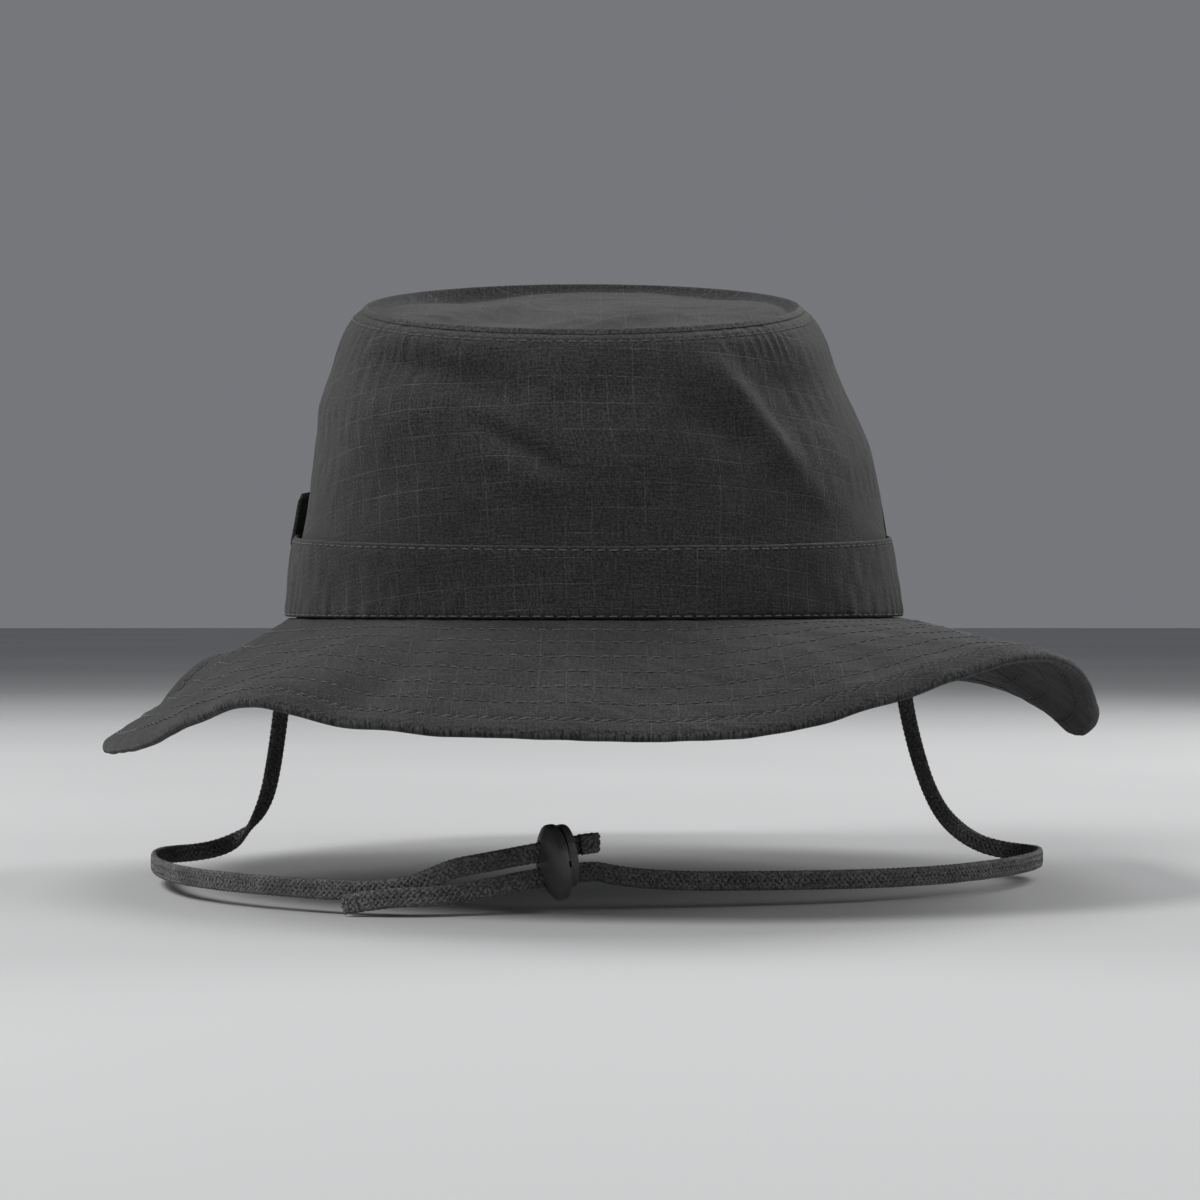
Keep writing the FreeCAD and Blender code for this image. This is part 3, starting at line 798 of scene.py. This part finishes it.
# ---- Stitches --------------------------------------------------------------
def stitch_rows(name, lines, material, body, stitch=2.6, gap=0.9, thickness=0.46):
    """Lines of lockstitch: each stitch is a short thread that dips into the cloth at both ends."""
    sides = 6
    along = np.array([-0.5, -0.42, -0.25, 0.0, 0.25, 0.42, 0.5])
    lift = np.array([-0.70, -0.05, 0.42, 0.52, 0.42, -0.05, -0.70]) * thickness
    fat = np.array([0.55, 0.9, 1.0, 1.0, 1.0, 0.9, 0.55]) * thickness / 2
    points, faces, start = [], [], 0
    for line, outward in lines:
        walked = distances(line)
        count = int(walked[-1] / (stitch + gap))
        centres = (np.arange(count) + 0.5) * walked[-1] / max(count, 1)
        at = centres[:, None] + along[None] * stitch
        middle = np.stack([np.interp(at, walked, line[:, i]) for i in range(3)], axis=-1)
        out = np.stack([np.interp(at, walked, outward[:, i]) for i in range(3)], axis=-1)
        side = np.cross(unit(np.gradient(middle, axis=1)), out)
        middle = middle + out * lift[None, :, None]
        for angle in np.arange(sides) * 2 * math.pi / sides:
            ring = side * math.cos(angle) + out * (0.8 * math.sin(angle))
            points.append((middle + ring * fat[None, :, None]).reshape(-1, 3))
        total = count * len(along)
        index = np.arange(total).reshape(count, len(along)) + start
        for k in range(sides):
            a, b = index + k * total, index + (k + 1) % sides * total
            quad = np.stack([a[:, :-1], a[:, 1:], b[:, 1:], b[:, :-1]], axis=-1).reshape(-1, 4)
            faces += quad.tolist()
        for end in (0, -1):
            caps = np.stack([index[:, end] + k * total for k in range(sides)], axis=-1)
            faces += (caps if end else caps[:, ::-1]).tolist()
        start += sides * total
    obj = mesh_object(name, np.concatenate(points), faces, material)
    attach(obj, body)
    return obj


def surface_row(place, relief, share, distance, flip=False):
    """Line round a surface at one share, with the directions off it, or through it when flipped."""
    angle = np.linspace(-math.pi, math.pi, ROW_STEPS)
    shares = np.full(ROW_STEPS, float(share))
    outward = normals(place, angle, shares)
    line = place(angle, shares) + outward * (distance + relief(angle, shares))[:, None]
    return line, -outward if flip else outward


# ---- Crown -----------------------------------------------------------------
WALL_TAPER = math.sin(math.radians(15.0))
WALL_SLANT = 1.03             # length up the wall for each unit of height


def wall_pattern(angle, share, front):
    slant = -height_of(share) * WALL_SLANT
    return cone_cloth(angle, slant, FRONT if front else BACK, RING_HALF_LENGTH, WALL_TAPER)


def wall_sheet(name, angles, shares, inner, outer, relief, front, material, wear=None, edge=None):
    """Closed sheet that lies along the crown wall, from one distance off it to another."""
    angle, share = grid(angles, shares)
    stand = relief(angle, share)
    thin = 0 if edge is None else edge(angle, share)
    rub = None if wear is None else wear(angle, share)
    return cloth_piece(name, offset(wall_place, angle, share, stand + outer - thin),
                       offset(wall_place, angle, share, stand + inner),
                       wall_pattern(angle, share, front), material, rub)


def settle(piece, node):
    """A piece of the hat that shows in place of its CAD part."""
    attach(piece, HAT)
    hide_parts(node)
    return piece


def make_crown(cloth):
    """Front and back panels of the crown, and the band sewn over each."""
    band_top = BAND_HEIGHT / CROWN_HEIGHT
    for name, front in (("front", True), ("back", False)):
        panel = wall_sheet(
            "crown_panel_" + name + "_cloth", half_angles(front, PANEL_STEPS), np.linspace(0.019, 1.0, 175),
            0, CLOTH, wall_relief, front, cloth,
            wear=lambda angle, share: 0.8 * bell((1 - share) * CROWN_HEIGHT - 0.6, 1.2))
        settle(panel, "crown_panel_" + name)
        band = wall_sheet(
            "band_" + name + "_cloth", half_angles(front, PANEL_STEPS), np.linspace(0.017, band_top, 70),
            BAND_INNER, BAND_INNER + BAND_CLOTH, band_relief, front, cloth,
            wear=lambda angle, share: 0.6 * bell(BAND_HEIGHT - height_of(share), 0.6),
            edge=lambda angle, share: 0.5 * bell(BAND_HEIGHT - height_of(share), 0.4) +
            0.5 * bell(height_of(share) - 1.5, 0.6))
        settle(band, "band_" + name)


def tip_relief(x, y, from_edge):
    """Sag, dents and turned edge of the crown's tip, above its seam's plane."""
    relief = 0.6 * ripple(x / 60, y / 60, 41) + 0.10 * ripple(x / 16, y / 16, 42) - 0.9
    relief = relief - 2.4 * bell(x + 36, 24) * bell(y - 50, 30)
    relief = (relief + creases(x, y, TIP_DENTS)) * smoothstep(1.0, 9.0, from_edge)
    rolled_edge = 0.9 * bell(from_edge - 1.6, 1.1) - 0.45 * bell(from_edge, 0.7)
    return relief + rolled_edge - 1.0 * bell(from_edge - 5.5, 2.4)


def make_tip(cloth):
    """Oval top of the crown, from its centre out to the seam."""
    turns = np.linspace(-math.pi, math.pi, 421)
    shares = np.concatenate([np.linspace(0.004, 0.92, 80), np.linspace(0.925, 1.0, 40)])
    past_wall, raised = 0.1, 0.3
    angle, share = grid(turns, shares)
    x = TIP_SHIFT + (TIP_HALF_WIDTH + past_wall) * share * np.cos(angle)
    y = (TIP_HALF_LENGTH + past_wall) * share * np.sin(angle)
    from_edge = (1 - share) * TIP_HALF_LENGTH
    z = CROWN_HEIGHT + TIP_SLOPE * y + raised + tip_relief(x, y, from_edge)
    upper = stack(x, y, z)
    upper[-1] = upper[0]
    lower = upper - stack(0 * x, 0 * x, 0 * x + CLOTH * (1 - 0.5 * bell(from_edge, 0.8)))
    pattern = stack(x, y, 0 * x)[..., :2]
    tip = cloth_piece("crown_tip_cloth", upper, lower, pattern, cloth, 0.9 * bell(from_edge - 1.0, 1.0))
    settle(tip, "crown_tip")


def make_lining(tape, lining, label):
    """Sweatband, seam tapes and the blank label inside the crown."""
    band_outer = -2 * PLY_GAP - TAPE_CLOTH
    band_inner = band_outer - SWEATBAND_CLOTH
    low, high = -SWEATBAND_DROP / CROWN_HEIGHT, SWEATBAND_HEIGHT / CROWN_HEIGHT
    tip_stand, side_stand = PLY_GAP + 0.9, PLY_GAP + 0.35

    def quilted(angle, share):
        return wall_wave(angle, share) + 0.12 * ripple(angle * RING_HALF_LENGTH / 16, share * 4, 51)

    sweatband = wall_sheet("sweatband_cloth", all_angles(), np.linspace(low, high, 60),
                           band_inner, band_outer, quilted, True, lining)
    settle(sweatband, "sweatband")
    margin, width = TAPE_MARGIN / CROWN_HEIGHT, TAPE_WIDTH / CROWN_HEIGHT
    tip_tape = wall_sheet(
        "tip_seam_tape_cloth", all_angles(), np.linspace(1 - margin - width, 1 - margin, 20),
        -tip_stand - TAPE_CLOTH, -tip_stand, wall_wave, True, tape)
    settle(tip_tape, "tip_seam_tape")
    half = TAPE_WIDTH / 2 / RING_HALF_LENGTH
    for name, middle in (("left", math.pi), ("right", 0.0)):
        side_tape = wall_sheet(
            "side_seam_tape_" + name + "_cloth", np.linspace(middle - half, middle + half, 24),
            np.linspace(0.02, 1 - 2 * margin - width, 120), -side_stand - TAPE_CLOTH, -side_stand,
            wall_wave, True, tape)
        settle(side_tape, "side_seam_tape_" + name)
    half = LABEL_WIDTH / 2 / RING_HALF_WIDTH
    low = (SWEATBAND_HEIGHT - LABEL_HEIGHT) / 2 / CROWN_HEIGHT
    outer = band_inner - PLY_GAP
    patch = wall_sheet("blank_label_cloth", np.linspace(BACK - half, BACK + half, 60),
                       np.linspace(low, low + LABEL_HEIGHT / CROWN_HEIGHT, 40), outer - LABEL_CLOTH, outer,
                       quilted, False, label)
    settle(patch, "blank_label")


def make_side_loops(tape):
    """Loop of doubled tape at each side, with its top fold."""
    half = LOOP_WIDTH / 2 / RING_HALF_LENGTH
    inner = BAND_INNER + BAND_CLOTH + PLY_GAP
    low, high = BAND_HEIGHT - LOOP_TUCK, BAND_HEIGHT + LOOP_HEIGHT

    def puff(angle, share):
        height = height_of(share)
        round_in = (height - low) * (high - height) / (LOOP_TUCK + LOOP_HEIGHT) ** 2
        sewn = 0.5 * bell(height - low - 2, 0.7) + 0.4 * bell(height - high + 1.2, 0.8)
        return 0.5 + 1.2 * round_in - sewn

    def edge(angle, share):
        return 0.7 * bell(high - height_of(share), 0.6) + 0.6 * bell(height_of(share) - low, 0.5)

    for name, degrees in LOOP_ANGLES.items():
        middle = math.radians(degrees)
        loop = wall_sheet("side_loop_" + name + "_tape", np.linspace(middle - half, middle + half, 50),
                          np.linspace(low / CROWN_HEIGHT, high / CROWN_HEIGHT, 70), inner, inner + LOOP_CLOTH,
                          puff, False, tape, edge=edge)
        settle(loop, "side_loop_" + name)


def make_anchors(tape):
    """Folded tape tab that holds each end of the chin loop under the brim seam."""
    y, drop = grid(np.linspace(-ANCHOR_WIDTH / 2, ANCHOR_WIDTH / 2, 20), np.linspace(0, ANCHOR_HEIGHT, 14))
    thin = ANCHOR_HALF - 0.35 * bell(drop - ANCHOR_HEIGHT, 0.5) - 0.25 * bell(drop - 1.6, 0.5)
    thin = thin - 0.25 * bell(np.abs(y) - ANCHOR_WIDTH / 2, 0.5)
    for name, middle in (("left", LEFT_ANCHOR), ("right", RIGHT_ANCHOR)):
        outer = stack(middle + thin, ANCHOR_BACK + y, -ANCHOR_DROP - drop)
        inner = stack(middle - thin, ANCHOR_BACK + y, -ANCHOR_DROP - drop)
        pattern = stack(y, drop, 0 * y)[..., :2]
        tab = cloth_piece("cord_anchor_" + name + "_tape", outer, inner, pattern, tape)
        settle(tab, "cord_anchor_" + name)


# ---- Brim ------------------------------------------------------------------
BRIM_TAPER = 0.90
EDGE_PLY = 0.10               # between the brim's two cloths at its very edge


def brim_pattern(angle, share, front):
    return cone_cloth(angle, share * BRIM_WIDTH, FRONT if front else BACK, RING_HALF_LENGTH, BRIM_TAPER)


def brim_face(angle, share, side):
    """Outer face of the brim's upper (1) or under (-1) cloth, rounded at the edge."""
    inward = (1 - share) * BRIM_WIDTH
    fall = np.sqrt(np.clip(1 - np.clip(1 - inward / BRIM_HALF, 0, 1) ** 2, 0, 1))
    quilt = brim_quilt(angle, share) * smoothstep(0.0, 2.0, inward)
    height = brim_wave(angle, share) + side * (EDGE_PLY + (BRIM_HALF - EDGE_PLY) * fall + quilt)
    return offset(brim_place, angle, share, height)


def make_brim(cloth, core_cloth):
    """Upper and under cloths of the brim, in halves, and the stiffener between them."""
    edge_steps = 1 - (1 - np.sin(np.linspace(0, 1, 10) * math.pi / 2)[:-1]) * 1.3 / BRIM_WIDTH
    shares = np.concatenate([np.linspace(0.0, 1 - 1.4 / BRIM_WIDTH, 150), edge_steps, [1.0]])
    for name, front in (("front", True), ("back", False)):
        angle, share = grid(half_angles(front, BRIM_STEPS), shares)
        inward = (1 - share) * BRIM_WIDTH
        wear = 0.9 * bell(inward, 1.1)
        away = normals(brim_place, angle, share)
        thickness = np.minimum(CLOTH, 0.05 + 0.8 * inward)[..., None]
        for layer, side in (("upper", 1), ("under", -1)):
            face = brim_face(angle, share, side)
            node = "brim_" + layer + "_" + name
            piece = cloth_piece(node + "_cloth", face, face - away * (side * thickness),
                                brim_pattern(angle, share, front), cloth, wear)
            settle(piece, node)
    margin = CORE_MARGIN / BRIM_WIDTH
    angle, share = grid(all_angles(), np.linspace(margin, 1 - margin, 60))
    wave = brim_wave(angle, share)
    core = cloth_piece("brim_stiffener_felt", offset(brim_place, angle, share, wave + FELT_HALF),
                       offset(brim_place, angle, share, wave - FELT_HALF),
                       brim_pattern(angle, share, True), core_cloth)
    settle(core, "brim_stiffener")


def make_stitches(thread):
    """Rows of stitches on the crown, the band and both faces of the brim."""
    band_face = BAND_INNER + BAND_CLOTH
    brim_rows = [1 - row / BRIM_WIDTH for row in HEM_ROWS + BRIM_ROWS]
    heights = (BAND_HEIGHT - BAND_TOP_STITCH, BAND_FOOT_STITCH)
    rows = {
        "tip_seam_stitches": [
            surface_row(wall_place, wall_relief, 1 - TIP_STITCH / CROWN_HEIGHT, CLOTH)],
        "band_stitches": [
            surface_row(wall_place, band_relief, height / CROWN_HEIGHT, band_face) for height in heights],
        "brim_upper_stitches": [
            surface_row(brim_place, brim_upper_relief, share, BRIM_HALF) for share in brim_rows],
        "brim_under_stitches": [
            surface_row(brim_place, brim_under_relief, share, BRIM_HALF, flip=True) for share in brim_rows],
    }
    for name, lines in rows.items():
        piece = stitch_rows(name, lines, thread, HAT)


# ---- Stage, light and camera -----------------------------------------------
def make_stage():
    signs = ((-1, -1), (1, -1), (1, 1), (-1, 1))
    corners = [(FLOOR_REACH * x, FLOOR_REACH * y, FLOOR) for x, y in signs]
    floor = mesh_object("floor", corners, [[0, 1, 2, 3]], pale_ground())


def pale_ground():
    n = Nodes("pale_floor")
    place = n.add("TexCoord").outputs["Object"]
    cloud = n.noise(place, 1.5, 2.0)
    tone = n.ramp(cloud, 0.3, 0.7)
    n.wire(n.mix(tone, (0.44, 0.44, 0.44, 1), (0.48, 0.48, 0.48, 1)), n.shader.inputs["Base Color"])
    n.shader.inputs["Roughness"].default_value = 0.9
    return n.material


def area_light(name, place, size, power):
    """Round soft light aimed at the hat."""
    data = bpy.data.lights.new(name, "AREA")
    data.shape = "DISK"
    data.size = size
    data.energy = power
    lamp = link(bpy.data.objects.new(name, data))
    lamp.location = place
    lamp.rotation_euler = (-Vector(place)).to_track_quat("-Z", "Y").to_euler()


def make_light():
    world = bpy.data.worlds.new("soft_room")
    world.use_nodes = True
    background = world.node_tree.nodes["Background"]
    background.inputs["Color"].default_value = WORLD_COLOUR
    background.inputs["Strength"].default_value = WORLD_STRENGTH
    bpy.context.scene.world = world
    for name, place, size, power in LIGHTS:
        area_light(name, place, size, power)


def make_camera():
    data = bpy.data.cameras.new("camera")
    data.sensor_width = CAMERA_SENSOR
    data.lens = CAMERA_LENS
    data.clip_start = 0.05
    camera = link(bpy.data.objects.new("camera", data))
    camera.location = CAMERA_PLACE
    camera.rotation_euler = (math.pi / 2, 0, 0)
    bpy.context.scene.camera = camera


# ---- Put it together -------------------------------------------------------
bpy.context.scene.view_settings.view_transform = "Standard"
make_camera()
braid_yarn = fibre("braid_yarn", (0.016, 0.016, 0.016), (0.165, 0.164, 0.160), 1500)
make_chin_loop(braid_yarn)

ripstop = woven_cloth("ripstop_cotton", (0.008, 0.008, 0.008), (0.034, 0.034, 0.034))
plain_cloth = woven_cloth("sweatband_twill", (0.010, 0.010, 0.011), (0.024, 0.024, 0.025), ripstop=False)
tape_cloth = woven_cloth("bias_tape", (0.012, 0.012, 0.012), (0.030, 0.030, 0.030), ripstop=False,
                         thread=0.7 * MM)
label_cloth = woven_cloth("label_satin", (0.05, 0.05, 0.05), (0.09, 0.09, 0.09), ripstop=False,
                          thread=0.3 * MM)
felt = woven_cloth("stiffener_felt", (0.03, 0.03, 0.03), (0.05, 0.05, 0.05), ripstop=False)
thread = fibre("sewing_thread", (0.030, 0.030, 0.030), (0.115, 0.115, 0.115), 2600)
plastic = moulded_plastic("slider_plastic")
make_crown(ripstop)
make_tip(ripstop)
make_side_loops(ripstop)
make_brim(ripstop, felt)
make_lining(tape_cloth, plain_cloth, label_cloth)
make_anchors(tape_cloth)
make_stitches(thread)

for node in ("slider_shell", "slider_plate"):
    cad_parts[node].data.materials.clear()
    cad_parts[node].data.materials.append(plastic)

make_tacks(thread)

make_stage()
make_light()
